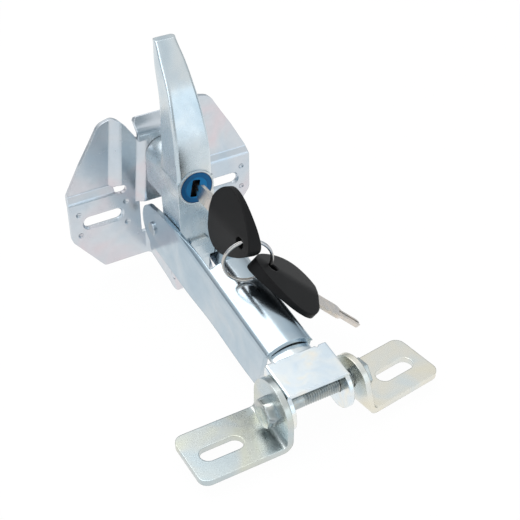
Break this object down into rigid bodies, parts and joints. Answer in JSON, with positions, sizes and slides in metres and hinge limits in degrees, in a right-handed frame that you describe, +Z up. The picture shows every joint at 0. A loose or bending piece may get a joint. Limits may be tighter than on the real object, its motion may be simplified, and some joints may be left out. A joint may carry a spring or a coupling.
{
  "type": "lockable draw latch",
  "caption": "Lockable draw latch for a vehicle hood: winged bracket, lever handle with cylinder lock, channel arm, bolted clevis tongue on slotted feet, keys on a split ring.",
  "frame": {"origin": "midway between the two bracket slots, on the mounting face behind the slotted pads", "axes": "+X across, towards the turned foot, +Y into the wall the bracket is fixed to, +Z up along the handle"},
  "size_m": [0.1307, 0.1716, 0.137],
  "materials": {
    "zinc_sheet": "bright zinc plating",
    "handle_casting": "plated casting",
    "arm_chrome": "bright plating",
    "foot_zinc": "warm zinc plating",
    "bolt_zinc": "zinc plating",
    "lock_blue": "glossy blue",
    "inner_steel": "plain steel",
    "key_black": "satin black",
    "key_nickel": "nickel plating",
    "ring_steel": "nickel plating"
  },
  "bodies": {
    "bracket": {"wing_bracket": "zinc_sheet", "bracket_pin": "zinc_sheet"},
    "lever": {"handle": "handle_casting", "lock_housing": "lock_blue"},
    "lock": {"lock_plug": "lock_blue", "lock_wafers": "inner_steel", "lock_clip": "inner_steel", "lock_cam": "zinc_sheet", "cam_screw": "inner_steel", "key_1_blade": "key_nickel", "key_1_head": "key_black", "key_2_blade": "key_nickel", "key_2_head": "key_black", "split_ring": "ring_steel"},
    "arm": {"arm_channel": "arm_chrome", "handle_pin": "zinc_sheet", "tongue": "arm_chrome", "hinge_bolt": "bolt_zinc", "hinge_nut": "bolt_zinc"},
    "foot_left": {"left_foot": "foot_zinc"},
    "foot_right": {"right_foot": "foot_zinc"}
  },
  "joints": [
    {"name": "handle_swing", "type": "hinge", "parent": "bracket", "child": "lever", "pos_m": [0, -0.0316, -0.0275], "axis": [1, 0, 0], "range_deg": [0, 90]},
    {"name": "arm_swing", "type": "hinge", "parent": "lever", "child": "arm", "pos_m": [0, -0.01535, -0.00605], "axis": [1, 0, 0], "range_deg": [0, 45]},
    {"name": "lock_turn", "type": "hinge", "parent": "lever", "child": "lock", "pos_m": [0, -0.0442, 0.03205], "axis": [0, -1, 0], "range_deg": [0, 90]},
    {"name": "left_foot_turn", "type": "hinge", "parent": "arm", "child": "foot_left", "pos_m": [-0.01927, -0.1532, -0.0176], "axis": [1, 0, 0], "range_deg": [-180, 90]},
    {"name": "right_foot_turn", "type": "hinge", "parent": "arm", "child": "foot_right", "pos_m": [0.02265, -0.1532, -0.0176], "axis": [1, 0, 0], "range_deg": [-180, 90]}
  ]
}
